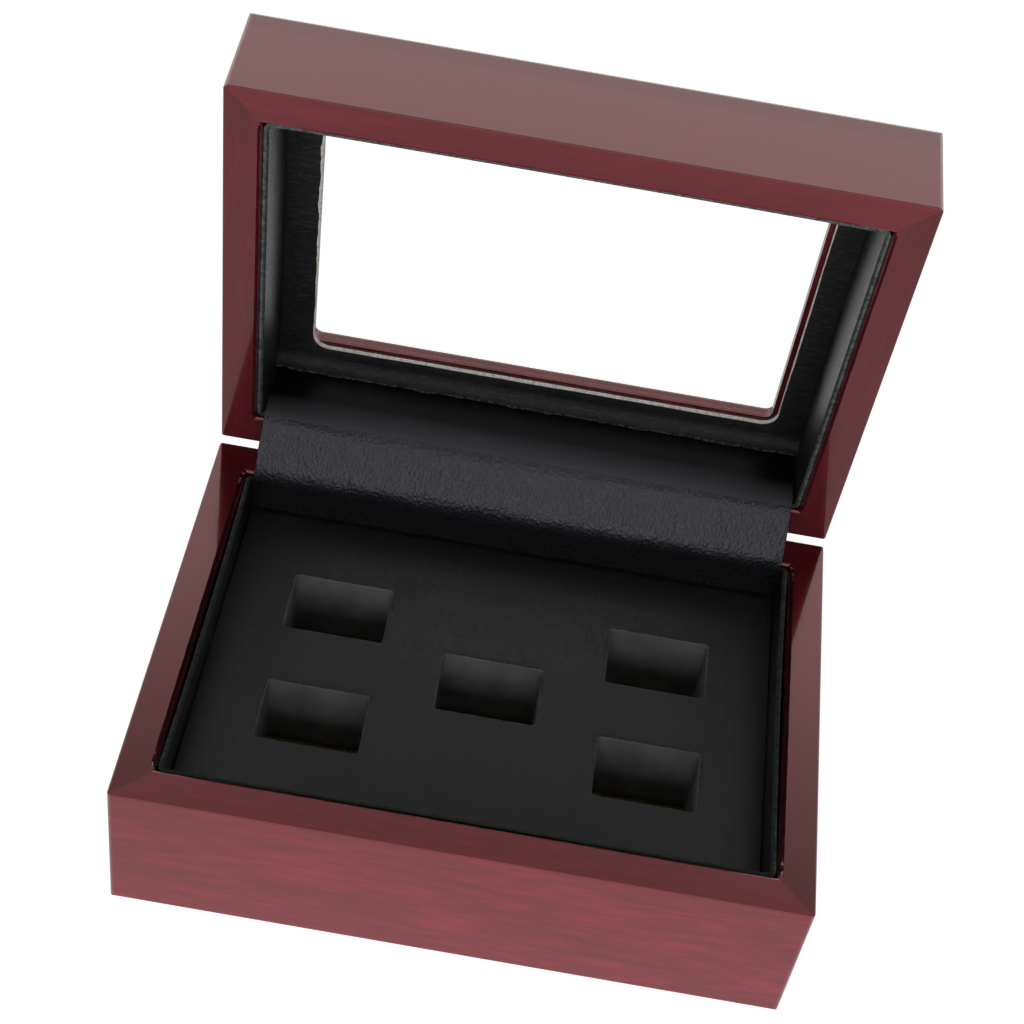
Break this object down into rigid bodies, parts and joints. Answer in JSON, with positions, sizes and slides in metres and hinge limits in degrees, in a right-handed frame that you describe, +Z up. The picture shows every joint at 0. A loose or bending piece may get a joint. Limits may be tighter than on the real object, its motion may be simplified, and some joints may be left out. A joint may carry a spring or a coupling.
{
  "type": "ring display box",
  "caption": "Lacquered wooden box for showing rings: an insert with slots in the base and a hinged lid with a window, lined with black leathercloth.",
  "frame": {"origin": "centre of the felt face that the box stands on", "axes": "+X to the right along the hinge line, +Y from the front to the hinges at the rear, +Z up"},
  "size_m": [0.16, 0.1435, 0.1589],
  "materials": {
    "lacquered_wood": "dark red stain under gloss lacquer",
    "panel_board": "raw fibreboard",
    "felt": "short black felt",
    "foam": "raw sponge",
    "leathercloth_card": "card covered with black grained leathercloth",
    "leathercloth": "black grained leathercloth, satin",
    "pane": "clear, polished",
    "hinge_brass": "satin"
  },
  "bodies": {
    "base": {"base_front_board": "lacquered_wood", "base_rear_board": "lacquered_wood", "base_left_board": "lacquered_wood", "base_right_board": "lacquered_wood", "base_bottom_panel": "panel_board", "base_felt": "felt", "base_lining": "leathercloth_card", "insert_foam": "foam", "insert_board": "panel_board", "insert_cover": "leathercloth", "hinge_base_leaf_left": "hinge_brass", "hinge_base_leaf_right": "hinge_brass", "hinge_pin_left": "hinge_brass", "hinge_pin_right": "hinge_brass", "base_hinge_screws": "hinge_brass", "hinge_cover": "leathercloth"},
    "lid": {"lid_front_board": "lacquered_wood", "lid_rear_board": "lacquered_wood", "lid_left_board": "lacquered_wood", "lid_right_board": "lacquered_wood", "lid_top_panel": "lacquered_wood", "window_pane": "pane", "window_card": "leathercloth_card", "lid_lining": "leathercloth_card", "hinge_lid_leaf_left": "hinge_brass", "hinge_lid_leaf_right": "hinge_brass", "lid_hinge_screws": "hinge_brass"}
  },
  "joints": [
    {"name": "lid_hinge", "type": "hinge", "parent": "base", "child": "lid", "pos_m": [0, 0.0585, 0.0414], "axis": [1, 0, 0], "range_deg": [0, 86], "deforming": ["hinge_cover"]}
  ]
}
